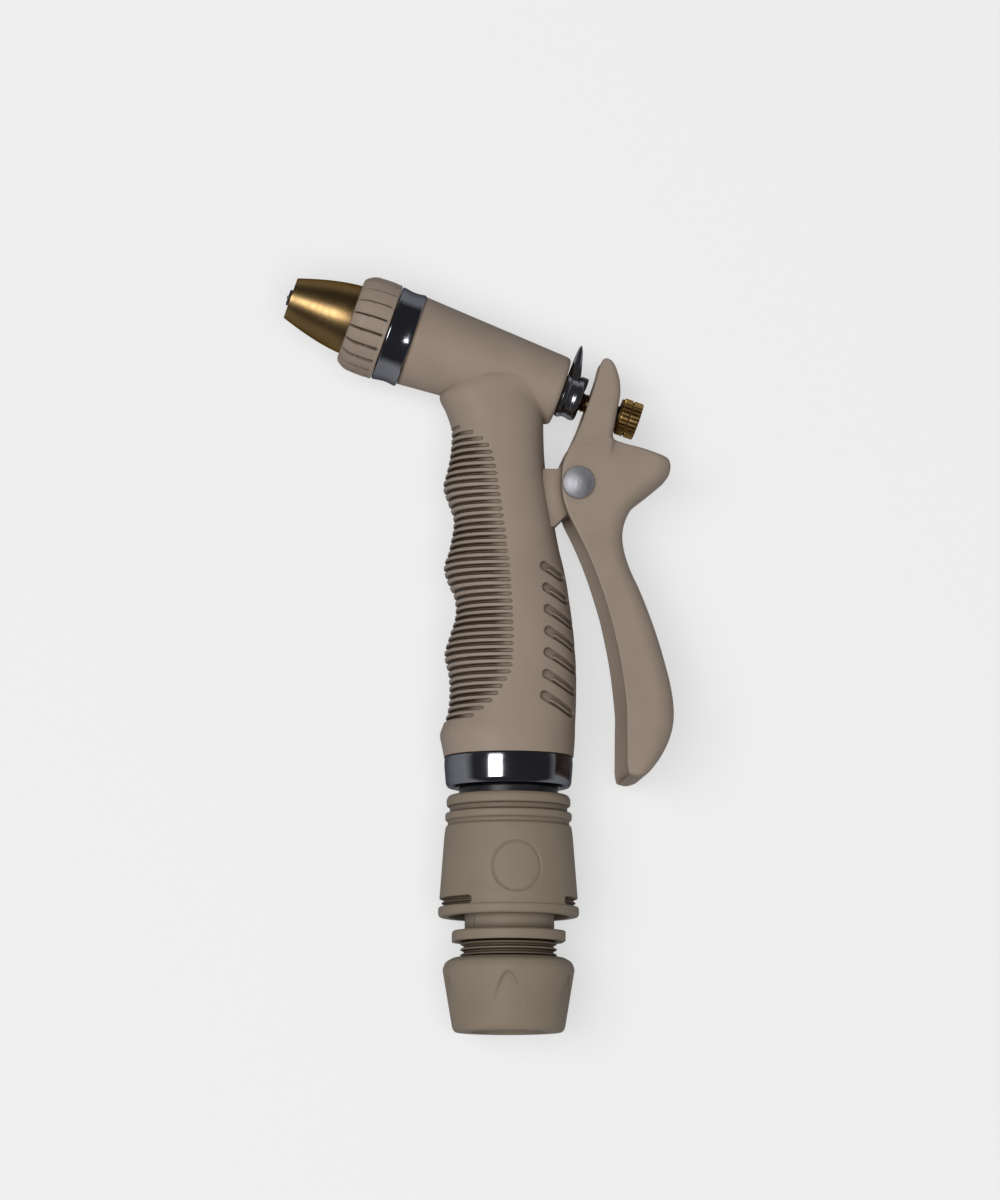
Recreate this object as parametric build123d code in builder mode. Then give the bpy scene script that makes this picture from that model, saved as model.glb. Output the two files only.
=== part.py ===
from build123d import *
import math
import os

os.makedirs("parts", exist_ok=True)

# Trigger spray nozzle with a garden-hose quick connector, in millimetres.
# It is drawn upright: Z runs up the hose axis from the bottom face of the clamp nut,
# the barrel points towards -X and up, the trigger hangs on the +X side, Y is the width.
# Every piece is then laid on its side for export, so the hose axis runs along +Y.

# Slack left between pieces that move on each other and pieces that are only fitted together.
RUNNING = 0.05
FITTED = 0.02
TURNING = 0.25

# Barrel: its axis starts at the rear face and runs forward and up.
BARREL_TILT = 19.0
BARREL_REAR = (13.4, 0, 165.6)
BARREL_LENGTH = 41.0
BARREL_REAR_RADIUS = 8.65
BARREL_FRONT_RADIUS = 11.8
CHAMBER_RADIUS = 7.0
CHAMBER_REAR = 3.0
CHAMBER_FRONT = 36.0

# Handle sections from the top down: height, front edge X, back edge X, half width.
# The front edge swells into three finger bumps and a lip at the bottom.
HANDLE_SECTIONS = [
    (168.0, -18.5, 9.5, 9.0),
    (162.0, -17.0, 9.3, 10.8),
    (156.0, -14.8, 9.0, 11.6),
    (149.0, -15.0, 9.2, 12.0),
    (140.7, -17.0, 10.2, 12.3),
    (132.0, -14.3, 11.5, 12.4),
    (119.6, -16.8, 14.2, 12.9),
    (107.2, -13.8, 16.2, 13.6),
    (97.0, -16.5, 17.2, 14.4),
    (87.0, -15.3, 17.4, 15.2),
    (76.7, -17.5, 17.1, 16.2),
    (70.5, -16.6, 16.7, 16.5),
]
HANDLE_BOTTOM = 70.5
WATERWAY_RADIUS = 5.0
WATERWAY_FOOT_RADIUS = 9.0

# Recessed slots on both flanks of the handle, behind the finger side.
SLOT_COUNT = 7
SLOT_TOP = (9.5, 120.4)
SLOT_BOTTOM = (9.2, 86.2)
SLOT_LENGTH = 6.4
SLOT_WIDTH = 2.4
SLOT_TILT = -30.0
SLOT_DEPTH = 0.9

# Trigger lever: a pressed channel, open towards the handle, on a rivet through the body lug.
PIVOT = (17.4, 141.1)
PIVOT_RADIUS = 2.0
RIVET_HEAD_RADIUS = 4.3
RIVET_HEAD_HEIGHT = 2.0
SHEET = 1.5
LEVER_TOP_HALF_WIDTH = 5.2
LEVER_HALF_WIDTH = 8.4
LEVER_TIP_HALF_WIDTH = 14.5
LUG_HALF_WIDTH = LEVER_HALF_WIDTH - SHEET - RUNNING
LUG_RADIUS = 6.2
STEM_HOLE_RADIUS = 3.3

# Stem, nut and gland along the barrel axis. Stations count forward from the barrel's rear face.
STEM_RADIUS = 2.5
STEM_END = -20.2
NUT_WASHER_FACE = -15.97
NUT_WASHER_THICKNESS = 0.55
NUT_RADIUS = 4.85
NUT_LENGTH = 4.75
KNURLS = 40
SPRING_REAR = 5.2
SPRING_FRONT = 31.5
LOCK_RING_RADIUS = 6.5
LOCK_RING_FRONT = -0.2
LOCK_RING_REAR = -6.0

# Spray head.
RING_FRONT = 47.7
COLLAR_FRONT = 57.6
COLLAR_RADIUS = 12.9
COLLAR_RIBS = 18
CONE_FRONT = 74.2
CONE_BASE_RADIUS = 9.25
CONE_FACE_RADIUS = 5.45
NOSE_FLANGE_RADIUS = 8.0
NOSE_RADIUS = 7.0
NOSE_FRONT = 66.0

# Quick connector on the hose axis.
TRIM_BOTTOM = 62.4
TRIM_RADIUS = 16.6
ADAPTOR_STUB_RADIUS = 10.2
ADAPTOR_TOP = 80.0
ADAPTOR_BORE = 4.5
SLEEVE_TOP = 60.6
SLEEVE_BOTTOM = 29.4
SLEEVE_BORE = 13.3
SLEEVE_LOW_BORE = 15.5
SPRING_SHELF = 45.0
RETAINER_BOTTOM = 31.0
RETAINER_TOP = 32.6
NECK_RADIUS = 11.7
THREAD_RADIUS = 12.35
THREAD_PITCH = 1.5
FLANGE_RADIUS = 14.95
CLAMP_TOP = 19.0
CLAMP_RADIUS = 16.9
CLAMP_FOOT_RADIUS = 14.3
HOSE_RADIUS = 9.5
SCOOPS = 8
BADGE_RADIUS = 6.7
BADGE_PLACE = (0.5, 41.3)
BADGE_DEPTH = 0.35

tilt = math.radians(BARREL_TILT)
forward = Vector(-math.cos(tilt), 0, math.sin(tilt))
upright = Vector(math.sin(tilt), 0, math.cos(tilt))
barrel_axis = Axis(BARREL_REAR, forward)
# In this plane a point is (distance from the barrel axis, station along it).
barrel_section = Plane(origin=BARREL_REAR, x_dir=upright, z_dir=(0, -1, 0))


def barrel_plane(station):
    return Plane(origin=Vector(*BARREL_REAR) + forward * station, x_dir=upright, z_dir=forward)


def outline(plane, points):
    """A face with straight sides through the given points."""
    with BuildSketch(plane) as profile:
        with BuildLine():
            Polyline(*points, close=True)
        make_face()
    return profile.sketch


def turn_on_barrel(points, mode=Mode.ADD):
    revolve(outline(barrel_section, points), axis=barrel_axis, mode=mode)


def turn_on_hose(points, mode=Mode.ADD):
    revolve(outline(Plane.XZ, points), axis=Axis.Z, mode=mode)


def tube(plane, outer, inner, length, mode=Mode.ADD):
    with BuildSketch(plane) as ring:
        Circle(outer)
        if inner > 0:
            Circle(inner, mode=Mode.SUBTRACT)
    extrude(ring.sketch, amount=length, mode=mode)


def save(part, name):
    """Lay the piece on its side, as the nozzle rests, and write it."""
    laid = Rot(-90, 0, 0) * part
    laid.label = name
    export_step(laid, f"parts/{name}.step")


# ---------------------------------------------------------------- body

def handle_solid(shrink):
    """Smooth body through the handle's sections, drawn in by shrink on every side."""
    with BuildPart() as solid:
        for height, front, back, half_width in HANDLE_SECTIONS:
            with BuildSketch(Plane.XY.offset(height)):
                with Locations(((front + back) / 2, 0)):
                    Ellipse((back - front) / 2 - shrink, half_width - shrink)
        loft()
    return solid.part


handle_outer = handle_solid(0)
handle_inner = handle_solid(SLOT_DEPTH)

with BuildPart() as slot_cutter:
    for side in (-1, 1):
        for i in range(SLOT_COUNT):
            share = i / (SLOT_COUNT - 1)
            x = SLOT_TOP[0] + (SLOT_BOTTOM[0] - SLOT_TOP[0]) * share
            z = SLOT_TOP[1] + (SLOT_BOTTOM[1] - SLOT_TOP[1]) * share
            slot_x = x + SLOT_LENGTH / 2 * math.cos(math.radians(SLOT_TILT))
            slot_z = z + SLOT_LENGTH / 2 * math.sin(math.radians(SLOT_TILT))
            with BuildSketch(Plane.XZ.offset(side * 4)):
                with Locations((slot_x, slot_z)):
                    SlotOverall(SLOT_LENGTH, SLOT_WIDTH, rotation=SLOT_TILT)
            extrude(amount=side * 16)
slot_recess = slot_cutter.part - handle_inner

with BuildPart() as body_casting:
    add(handle_outer)
    add(slot_recess, mode=Mode.SUBTRACT)
    turn_on_barrel([
        (0, 0),
        (BARREL_REAR_RADIUS - 1.2, 0),
        (BARREL_REAR_RADIUS - 0.3, 0.4),
        (BARREL_REAR_RADIUS, 1.4),
        (BARREL_FRONT_RADIUS, BARREL_LENGTH),
        (0, BARREL_LENGTH),
    ])
    # Lug for the trigger's rivet.
    with BuildSketch(Plane.XZ.offset(-LUG_HALF_WIDTH)):
        with Locations(PIVOT):
            Circle(LUG_RADIUS)
        with BuildLine():
            Polyline((5, 145.2), (12, 144.9), (PIVOT[0], PIVOT[1] + LUG_RADIUS),
                     (PIVOT[0], PIVOT[1] - LUG_RADIUS), (11.4, 129.8), (5, 128), close=True)
        make_face()
    extrude(amount=2 * LUG_HALF_WIDTH)
    # Rivet hole, waterway up the handle, adaptor thread and valve chamber.
    with BuildSketch(Plane.XZ.offset(-20)):
        with Locations(PIVOT):
            Circle(PIVOT_RADIUS + RUNNING)
    extrude(amount=40, mode=Mode.SUBTRACT)
    tube(Plane.XY.offset(HANDLE_BOTTOM - 1), ADAPTOR_STUB_RADIUS + FITTED, 0,
         ADAPTOR_TOP - HANDLE_BOTTOM + 1, Mode.SUBTRACT)
    tube(Plane.XY.offset(ADAPTOR_TOP), WATERWAY_RADIUS, 0, 86, Mode.SUBTRACT)
    turn_on_hose([(0, ADAPTOR_TOP), (WATERWAY_FOOT_RADIUS, ADAPTOR_TOP), (6.5, 150), (0, 154)],
                 Mode.SUBTRACT)
    tube(barrel_plane(CHAMBER_REAR), CHAMBER_RADIUS, 0, CHAMBER_FRONT - CHAMBER_REAR, Mode.SUBTRACT)
    tube(barrel_plane(CHAMBER_FRONT), NOSE_FLANGE_RADIUS + FITTED, 0, 10, Mode.SUBTRACT)
    tube(barrel_plane(-1), 4.4 + FITTED, 0, 5, Mode.SUBTRACT)

# ---------------------------------------------------------------- spray head

with BuildPart() as front_trim_ring:
    turn_on_barrel([
        (NOSE_FLANGE_RADIUS + FITTED, BARREL_LENGTH),
        (12.1, BARREL_LENGTH),
        (12.5, BARREL_LENGTH + 0.5),
        (12.65, RING_FRONT - 0.6),
        (12.3, RING_FRONT - FITTED),
        (NOSE_FLANGE_RADIUS + FITTED, RING_FRONT - FITTED),
    ])

# Fixed tube the spray head screws on. Its rear lip is the valve seat.
with BuildPart() as nozzle_tube:
    turn_on_barrel([
        (3.4, CHAMBER_FRONT - 0.5),
        (4.2, CHAMBER_FRONT - 0.5),
        (4.6, CHAMBER_FRONT),
        (NOSE_FLANGE_RADIUS, CHAMBER_FRONT),
        (NOSE_FLANGE_RADIUS, RING_FRONT),
        (NOSE_RADIUS, RING_FRONT),
        (NOSE_RADIUS, NOSE_FRONT - 4.0),
        (NOSE_RADIUS - 1.3, NOSE_FRONT - 4.0),
        (NOSE_RADIUS - 1.3, NOSE_FRONT - 2.0),
        (NOSE_RADIUS - 0.5, NOSE_FRONT - 2.0),
        (NOSE_RADIUS - 0.5, NOSE_FRONT),
        (4.6, NOSE_FRONT),
        (4.6, CHAMBER_FRONT + 3),
        (3.4, CHAMBER_FRONT + 2),
    ])

# Seal between the nozzle tube and the cone. It travels with the screwed head.
with BuildPart() as cone_o_ring:
    turn_on_barrel([
        (NOSE_RADIUS + TURNING, RING_FRONT + 2.9),
        (NOSE_RADIUS + 1.0, RING_FRONT + 2.9),
        (NOSE_RADIUS + 1.0, RING_FRONT + 4.3),
        (NOSE_RADIUS + TURNING, RING_FRONT + 4.3),
    ])

with BuildPart() as grip_collar:
    turn_on_barrel([
        (CONE_BASE_RADIUS - 0.4, RING_FRONT + 0.3),
        (COLLAR_RADIUS - 0.2, RING_FRONT + 0.3),
        (COLLAR_RADIUS, RING_FRONT + 0.9),
        (COLLAR_RADIUS - 0.1, COLLAR_FRONT - 2.4),
        (COLLAR_RADIUS - 0.8, COLLAR_FRONT - 0.8),
        (COLLAR_RADIUS - 2.2, COLLAR_FRONT),
        (CONE_BASE_RADIUS - 0.4, COLLAR_FRONT),
    ])
    # Grooves that give the collar its grip.
    with BuildSketch(barrel_plane(RING_FRONT + 0.9)):
        with PolarLocations(COLLAR_RADIUS + 0.1, COLLAR_RIBS):
            Rectangle(0.9, 0.5)
    extrude(amount=10, mode=Mode.SUBTRACT)

with BuildPart() as spray_cone:
    with BuildSketch(barrel_section):
        with BuildLine():
            Polyline(
                (CONE_FACE_RADIUS, CONE_FRONT),
                (2.6 + FITTED, CONE_FRONT),
                (2.6 + FITTED, 70.6),
                (2.0, 70.6),
                (2.0, 70.0),
                (4.0, NOSE_FRONT + 0.6),
                (NOSE_RADIUS + TURNING, NOSE_FRONT + 0.6),
                (NOSE_RADIUS + TURNING, RING_FRONT + 4.3 + TURNING),
                (NOSE_RADIUS + 1.0 + TURNING, RING_FRONT + 4.3 + TURNING),
                (NOSE_RADIUS + 1.0 + TURNING, RING_FRONT + 0.6),
                (CONE_BASE_RADIUS - 0.42, RING_FRONT + 0.6),
                (CONE_BASE_RADIUS - 0.42, COLLAR_FRONT + FITTED),
                (CONE_BASE_RADIUS, COLLAR_FRONT + FITTED),
            )
            ThreePointArc((CONE_BASE_RADIUS, COLLAR_FRONT + FITTED), (8.0, 66.4),
                          (CONE_FACE_RADIUS, CONE_FRONT))
        make_face()
    revolve(axis=barrel_axis)

with BuildPart() as orifice_insert:
    turn_on_barrel([
        (1.0, CONE_FRONT + 0.7),
        (1.9, CONE_FRONT + 0.7),
        (2.1, CONE_FRONT + 0.5),
        (2.1, CONE_FRONT),
        (2.6, CONE_FRONT),
        (2.6, 70.62),
        (2.0, 70.62),
        (2.0, 72.6),
        (1.0, 73.4),
    ])

# ---------------------------------------------------------------- valve

with BuildPart() as valve_stem:
    turn_on_barrel([
        (0, STEM_END),
        (STEM_RADIUS - 0.4, STEM_END),
        (STEM_RADIUS, STEM_END + 0.4),
        (STEM_RADIUS, SPRING_FRONT),
        (5.8, SPRING_FRONT),
        (5.8, SPRING_FRONT + 1.4),
        (1.8, SPRING_FRONT + 1.4),
        (1.8, 66.0),
        (0.45, 71.0),
        (0.45, CONE_FRONT + 1.0),
        (0, CONE_FRONT + 1.0),
    ])

with BuildPart() as valve_seal:
    turn_on_barrel([
        (1.8 + FITTED, SPRING_FRONT + 1.4 + FITTED),
        (5.5, SPRING_FRONT + 1.4 + FITTED),
        (5.5, CHAMBER_FRONT - 0.5 - FITTED),
        (1.8 + FITTED, CHAMBER_FRONT - 0.5 - FITTED),
    ])


def coil(plane, pitch, height, radius, wire):
    """Round wire wound on a helix that starts on the plane."""
    with BuildPart(plane) as wound:
        with BuildLine() as path:
            Helix(pitch=pitch, height=height, radius=radius)
        with BuildSketch(Plane(origin=path.line @ 0, z_dir=path.line % 0)):
            Circle(wire / 2)
        sweep(is_frenet=True)
    return wound.part


spring_wire = 0.9
spring_length = SPRING_FRONT - SPRING_REAR - spring_wire - 0.1
valve_coil = coil(Plane.XY, 3.2, spring_length, 4.2, spring_wire)
with BuildPart() as valve_spring:
    add(barrel_plane(SPRING_REAR + spring_wire / 2 + 0.05) * valve_coil)

# Packing and gland that close the chamber round the stem.
with BuildPart() as stem_packing:
    tube(barrel_plane(CHAMBER_REAR + FITTED), CHAMBER_RADIUS - 0.4, STEM_RADIUS + RUNNING, 1.3)

with BuildPart() as packing_washer:
    tube(barrel_plane(CHAMBER_REAR + 1.4), CHAMBER_RADIUS - 0.1, STEM_RADIUS + 0.1, 0.7)

with BuildPart() as gland_nut:
    turn_on_barrel([
        (STEM_RADIUS + RUNNING, CHAMBER_REAR),
        (4.4, CHAMBER_REAR),
        (4.4, 0),
        (4.0, 0),
        (4.0, -4.1),
        (5.0, -4.1),
        (5.0, -5.0),
        (STEM_RADIUS + RUNNING, -5.0),
    ])

# Lock ring turning on the gland: a round boss with a lobe and a pointed thumb blade.
with BuildPart() as lock_ring:
    tube(barrel_plane(LOCK_RING_REAR), LOCK_RING_RADIUS, 0, LOCK_RING_FRONT - LOCK_RING_REAR)
    with BuildSketch(barrel_plane(LOCK_RING_REAR)):
        with Locations((5.2, 0)):
            RectangleRounded(5.4, 6.0, 1.2)
    extrude(amount=2.4)
    with BuildSketch(barrel_section):
        with BuildLine():
            Polyline((4.5, -2.6), (6.5, -2.6), (14.9, -0.6), (15.2, -0.9), (7.5, -4.6), (4.5, -4.6),
                     close=True)
        make_face()
    extrude(amount=1.6, both=True)
    tube(barrel_plane(LOCK_RING_REAR), 5.0 + RUNNING, 0, 2.0, Mode.SUBTRACT)
    tube(barrel_plane(LOCK_RING_REAR), 4.0 + RUNNING, 0, 7, Mode.SUBTRACT)

with BuildPart() as nut_washer:
    tube(barrel_plane(NUT_WASHER_FACE - NUT_WASHER_THICKNESS), 4.4, STEM_RADIUS + RUNNING,
         NUT_WASHER_THICKNESS)

nut_front = NUT_WASHER_FACE - NUT_WASHER_THICKNESS - FITTED
with BuildPart() as flow_nut:
    turn_on_barrel([
        (0, nut_front),
        (NUT_RADIUS - 0.3, nut_front),
        (NUT_RADIUS, nut_front - 0.3),
        (NUT_RADIUS, nut_front - 1.9),
        (NUT_RADIUS - 0.5, nut_front - 2.1),
        (NUT_RADIUS - 0.5, nut_front - 2.6),
        (NUT_RADIUS, nut_front - 2.8),
        (NUT_RADIUS, nut_front - NUT_LENGTH + 0.4),
        (NUT_RADIUS - 0.4, nut_front - NUT_LENGTH),
        (0, nut_front - NUT_LENGTH),
    ])
    with BuildSketch(barrel_plane(nut_front)):
        with PolarLocations(NUT_RADIUS, KNURLS):
            Rectangle(0.4, 0.3, rotation=45)
    extrude(amount=-NUT_LENGTH, mode=Mode.SUBTRACT)
    tube(barrel_plane(nut_front), STEM_RADIUS + RUNNING, 0, -3.9, Mode.SUBTRACT)

# ---------------------------------------------------------------- trigger

with BuildSketch(Plane.XZ.offset(-20)) as lever_face:
    with BuildLine():
        Polyline((30.0, 64.8), (29.1, 68.0), (29.1, 82.2))
        ThreePointArc((29.1, 82.2), (24.9, 107.5), (15.3, 132.0))
        ThreePointArc((15.3, 132.0), (13.0, 139.0), (13.3, 146.0))
        Polyline((13.3, 146.0), (18.3, 156.6), (22.6, 168.9), (23.4, 171.8))
        ThreePointArc((23.4, 171.8), (25.0, 173.3), (27.3, 171.8))
        Polyline((27.3, 171.8), (28.6, 170.3), (28.9, 165.4), (26.65, 154.4), (27.2, 153.1),
                 (39.0, 148.5))
        ThreePointArc((39.0, 148.5), (40.9, 146.2), (40.2, 143.2))
        ThreePointArc((40.2, 143.2), (33.2, 137.0), (29.1, 127.8))
        ThreePointArc((29.1, 127.8), (29.9, 121.8), (32.3, 116.4))
        ThreePointArc((32.3, 116.4), (38.5, 99.4), (41.8, 81.2))
        ThreePointArc((41.8, 81.2), (40.1, 73.0), (35.2, 66.2))
        ThreePointArc((35.2, 66.2), (32.8, 64.7), (30.0, 64.8))
    make_face()
lever_side = lever_face.sketch.faces()[0]
lever_hollow = offset(lever_side, -SHEET).faces()[0]


def lever_width(inset):
    """Front view of the lever as a solid: narrow at the top, wider towards the tip."""
    top = LEVER_TOP_HALF_WIDTH - inset
    pivot = LEVER_HALF_WIDTH - inset
    tip = LEVER_TIP_HALF_WIDTH - inset
    with BuildPart() as width:
        with BuildSketch(Plane.YZ):
            with BuildLine():
                Polyline((-tip, 60), (-pivot, 128), (-pivot, 149), (-top, 168), (-top, 180),
                         (top, 180), (top, 168), (pivot, 149), (pivot, 128), (tip, 60), close=True)
            make_face()
        extrude(amount=60)
    return width.part


with BuildPart() as lever_blank:
    extrude(lever_side, amount=40)
    add(lever_width(0), mode=Mode.INTERSECT)

with BuildPart() as lever_core:
    for shift in (0, -3, -6, -9):
        extrude(Pos(shift, 0, 0) * lever_hollow, amount=40)
    add(Pos(-20, 0, 0) * lever_width(SHEET), mode=Mode.INTERSECT)

with BuildPart() as trigger_lever:
    add(lever_blank.part)
    add(lever_core.part, mode=Mode.SUBTRACT)
    with BuildSketch(Plane.XZ.offset(-20)):
        with Locations(PIVOT):
            Circle(PIVOT_RADIUS + RUNNING)
    extrude(amount=40, mode=Mode.SUBTRACT)
    with BuildSketch(barrel_plane(-20)):
        with Locations((0.35, 0)):
            Circle(STEM_HOLE_RADIUS)
    extrude(amount=10, mode=Mode.SUBTRACT)

rivet_seat = LEVER_HALF_WIDTH + RUNNING
rivet_end = rivet_seat + RIVET_HEAD_HEIGHT
# The heads are caps of a sphere centred on the rivet's axis.
dome_radius = (RIVET_HEAD_RADIUS ** 2 + RIVET_HEAD_HEIGHT ** 2) / (2 * RIVET_HEAD_HEIGHT)
dome_angle = math.asin(RIVET_HEAD_RADIUS / dome_radius) / 2
dome_x = dome_radius * math.sin(dome_angle)
dome_y = rivet_end - dome_radius * (1 - math.cos(dome_angle))
with BuildPart() as pivot_rivet:
    with BuildSketch(Plane(origin=(PIVOT[0], 0, PIVOT[1]), x_dir=(1, 0, 0), z_dir=(0, 0, 1))):
        with BuildLine():
            Line((0, rivet_end), (0, -rivet_end))
            ThreePointArc((0, -rivet_end), (dome_x, -dome_y), (RIVET_HEAD_RADIUS, -rivet_seat))
            Polyline((RIVET_HEAD_RADIUS, -rivet_seat), (PIVOT_RADIUS, -rivet_seat),
                     (PIVOT_RADIUS, rivet_seat), (RIVET_HEAD_RADIUS, rivet_seat))
            ThreePointArc((RIVET_HEAD_RADIUS, rivet_seat), (dome_x, dome_y), (0, rivet_end))
        make_face()
    revolve(axis=Axis((PIVOT[0], 0, PIVOT[1]), (0, 1, 0)))

# ---------------------------------------------------------------- quick connector

with BuildPart() as lower_trim_ring:
    turn_on_hose([
        (ADAPTOR_STUB_RADIUS + FITTED, TRIM_BOTTOM + FITTED),
        (15.4, TRIM_BOTTOM + FITTED),
        (16.2, TRIM_BOTTOM + 0.8),
        (TRIM_RADIUS, HANDLE_BOTTOM - 0.4),
        (16.3, HANDLE_BOTTOM - FITTED),
        (ADAPTOR_STUB_RADIUS + FITTED, HANDLE_BOTTOM - FITTED),
    ])

with BuildPart() as inlet_adaptor:
    turn_on_hose([
        (ADAPTOR_BORE, ADAPTOR_TOP - 1.5),
        (ADAPTOR_STUB_RADIUS - 0.6, ADAPTOR_TOP - 1.5),
        (ADAPTOR_STUB_RADIUS, ADAPTOR_TOP - 2.1),
        (ADAPTOR_STUB_RADIUS, TRIM_BOTTOM),
        (12.7, TRIM_BOTTOM),
        (12.7, 59.8),
        (8.6, 59.8),
        (8.6, 56.5),
        (9.9, 56.5),
        (9.9, 54.5),
        (7.9, 53.5),
        (7.9, 48.6),
        (6.5, 48.6),
        (6.5, 46.4),
        (7.9, 46.4),
        (7.9, 44.0),
        (7.3, 43.2),
        (ADAPTOR_BORE, 43.2),
    ])

with BuildPart() as inlet_washer:
    tube(Plane.XY.offset(ADAPTOR_TOP - 1.5 + FITTED), ADAPTOR_STUB_RADIUS - 0.2, WATERWAY_RADIUS, 1.4)

with BuildPart() as adaptor_o_ring:
    tube(Plane.XY.offset(46.5), 8.0, 6.5 + FITTED, 2.0)

with BuildPart() as connector_body:
    turn_on_hose([
        (4.2, 40.5),
        (8.0 + RUNNING, 40.5),
        (8.0 + RUNNING, 53.4),
        (10.1, 54.4),
        (10.1, 56.6),
        (12.0, 56.6),
        (12.0, 58.4),
        (10.1, 58.4),
        (10.1, 58.9),
        (10.9, 59.4),
        (SLEEVE_BORE - RUNNING, 59.4),
        (SLEEVE_BORE - RUNNING, 47.6),
        (12.6, 46.9),
        (NECK_RADIUS, 44.0),
        (NECK_RADIUS, 25.7),
        (FLANGE_RADIUS - 0.3, 25.7),
        (FLANGE_RADIUS, 25.4),
        (FLANGE_RADIUS, 23.1),
        (THREAD_RADIUS - 0.8, 23.1),
        (THREAD_RADIUS - 0.8, 11.0),
        (8.0, 11.0),
        (8.0, 24.0),
        (6.4, 24.0),
        (6.4, 8.2),
        (5.7, 6.4),
        (4.2, 6.4),
    ])
    # Thread ridges for the clamp nut and barbs that hold the hose.
    for i in range(7):
        root = 12.0 + i * THREAD_PITCH
        turn_on_hose([
            (THREAD_RADIUS - 1.2, root),
            (THREAD_RADIUS, root + 0.5),
            (THREAD_RADIUS, root + 0.7),
            (THREAD_RADIUS - 1.2, root + 1.2),
        ])
    for i in range(3):
        root = 9.5 + i * 4.0
        turn_on_hose([(6.0, root), (6.9, root + 2.0), (6.0, root + 2.2)])
    # Flats on the two ends of the thread flange.
    for side in (-1, 1):
        with BuildSketch(Plane.XY.offset(23.0)):
            with Locations((side * (FLANGE_RADIUS + 1.6), 0)):
                Rectangle(4, 24)
        extrude(amount=2.6, mode=Mode.SUBTRACT)

# Split ring whose teeth snap over the bead of the adaptor.
with BuildPart() as claw_ring:
    tube(Plane.XY.offset(56.7), 11.9, 8.8, 1.6)
    with BuildSketch(Plane.XY.offset(56)):
        with Locations((10.4, 0)):
            Rectangle(5, 3)
    extrude(amount=4, mode=Mode.SUBTRACT)

with BuildPart() as connector_seal:
    tube(Plane.XY.offset(40.5 + FITTED), 7.8, ADAPTOR_BORE, 2.6)

with BuildPart() as spring_retainer:
    tube(Plane.XY.offset(RETAINER_BOTTOM), SLEEVE_LOW_BORE - TURNING, NECK_RADIUS + FITTED,
         RETAINER_TOP - RETAINER_BOTTOM)

sleeve_wire = 1.0
sleeve_coil_length = SPRING_SHELF - RETAINER_TOP - sleeve_wire - 0.1
with BuildPart() as sleeve_spring:
    add(Pos(0, 0, RETAINER_TOP + sleeve_wire / 2 + 0.05)
        * coil(Plane.XY, 3.0, sleeve_coil_length, 14.1, sleeve_wire))

# Plain round recess on the near side of the sleeve, with a floor that follows the wall.
with BuildPart() as badge_cutter:
    with BuildSketch(Plane.XZ.offset(13)):
        with Locations(BADGE_PLACE):
            Circle(BADGE_RADIUS)
    extrude(amount=6)
    turn_on_hose([
        (0, 34.4),
        (17.7 - BADGE_DEPTH, 34.4),
        (16.5 - BADGE_DEPTH, 50.0),
        (0, 50.0),
    ], Mode.SUBTRACT)

with BuildPart() as connector_sleeve:
    turn_on_hose([
        (SLEEVE_BORE, SLEEVE_TOP - 0.4),
        (SLEEVE_BORE + 0.4, SLEEVE_TOP),
        (15.2, SLEEVE_TOP),
        (15.86, 59.6),
        (15.86, 58.0),
        (15.1, 57.4),
        (15.1, 56.4),
        (16.25, 55.8),
        (16.25, 54.4),
        (15.6, 53.7),
        (15.6, 52.9),
        (16.1, 52.4),
        (16.5, 50.0),
        (17.7, 34.4),
        (17.7, 31.9),
        (18.07, 31.5),
        (18.07, 29.8),
        (17.7, SLEEVE_BOTTOM),
        (SLEEVE_LOW_BORE, SLEEVE_BOTTOM),
        (SLEEVE_LOW_BORE, SPRING_SHELF),
        (SLEEVE_BORE, SPRING_SHELF),
    ])
    # Four grip slots above the bottom flange.
    for i in range(4):
        with BuildSketch(Plane.XZ.rotated((0, 0, 45 + 90 * i))):
            with Locations((17.6, 33.0)):
                Rectangle(2.2, 2.0)
        revolve(axis=Axis.Z, revolution_arc=50, mode=Mode.SUBTRACT)
    add(badge_cutter.part, mode=Mode.SUBTRACT)

with BuildPart() as hose_collet:
    turn_on_hose([
        (HOSE_RADIUS + 0.2, 3.6),
        (10.6, 3.6),
        (11.2, 5.0),
        (11.2, 9.6),
        (HOSE_RADIUS + 0.2, 9.6),
    ])
    with BuildSketch(Plane.XY.offset(5.0)):
        with PolarLocations(10.4, 8):
            Rectangle(3, 1.0)
    extrude(amount=6, mode=Mode.SUBTRACT)

with BuildPart() as clamp_nut:
    with BuildSketch(Plane.XZ):
        with BuildLine():
            Polyline((14.6, CLAMP_TOP), (THREAD_RADIUS + RUNNING, CLAMP_TOP),
                     (THREAD_RADIUS + RUNNING, 10.0), (11.25, 9.6), (11.25, 4.9), (10.6, 3.5),
                     (HOSE_RADIUS, 3.5), (HOSE_RADIUS, 0), (13.6, 0))
            ThreePointArc((13.6, 0), (14.15, 0.25), (CLAMP_FOOT_RADIUS, 0.8))
            Line((CLAMP_FOOT_RADIUS, 0.8), (CLAMP_RADIUS, 15.8))
            ThreePointArc((CLAMP_RADIUS, 15.8), (16.2, 18.1), (14.6, CLAMP_TOP))
        make_face()
    revolve(axis=Axis.Z)
    # Shallow finger scoops round the skirt.
    with PolarLocations(0, SCOOPS, start_angle=-90):
        with Locations(Location((25.4, 0, 5.0), (0, -14, 0))):
            Sphere(10.6, mode=Mode.SUBTRACT)

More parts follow.
